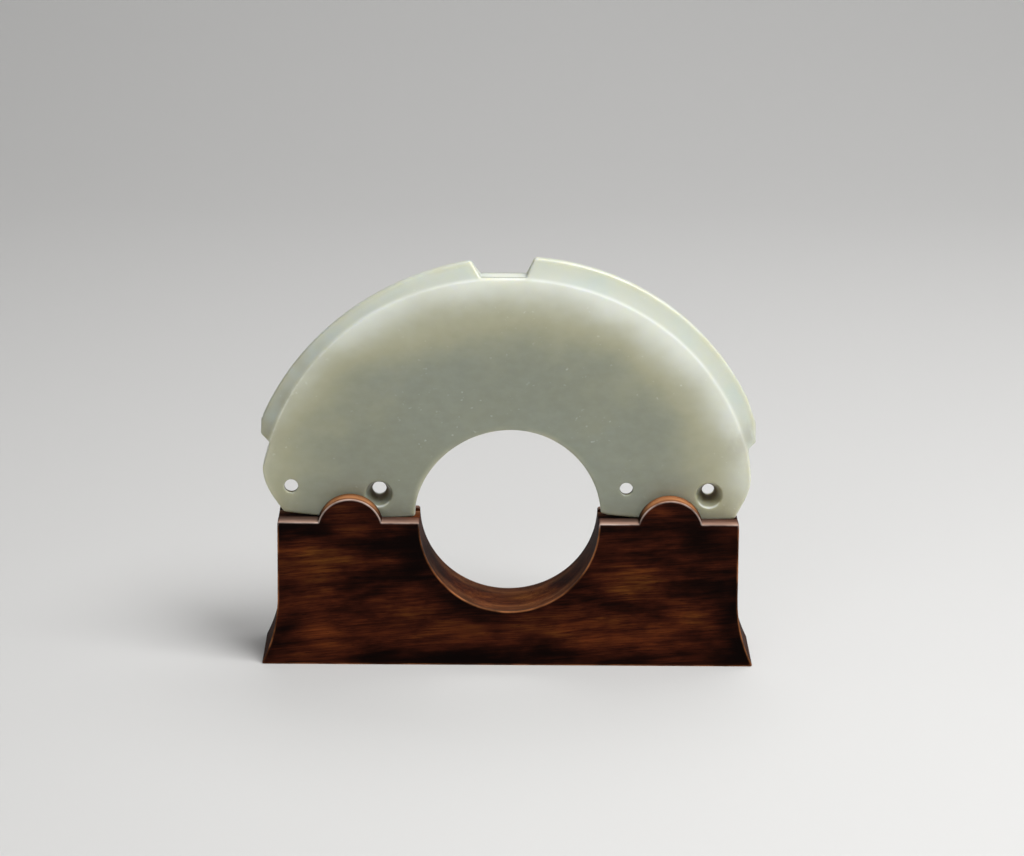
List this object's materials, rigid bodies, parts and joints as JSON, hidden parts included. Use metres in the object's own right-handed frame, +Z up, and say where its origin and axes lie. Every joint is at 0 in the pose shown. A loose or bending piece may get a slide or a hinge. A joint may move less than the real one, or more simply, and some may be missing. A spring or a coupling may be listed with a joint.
{
  "type": "jade huang pendant on its wooden stand",
  "caption": "Arc-shaped jade huang pendant with a thin stepped flange, drilled feet and a notch at the top, standing in a dark hardwood stand with a round cut-out and low lugs.",
  "frame": {"origin": "Middle of the stand's underside, which rests on the table", "axes": "X along the stand and across the pendant, +Y towards the back, +Z up; the pendant's face looks along -Y"},
  "size_m": [0.12, 0.022, 0.0987],
  "materials": {
    "celadon_jade": "satin polished, faintly translucent pale grey-green jade with cloudy veins",
    "dark_hardwood": "polished very dark red-brown hardwood with fine long grain"
  },
  "bodies": {
    "root": {"jade_huang": "celadon_jade", "wood_stand": "dark_hardwood"}
  },
  "joints": []
}
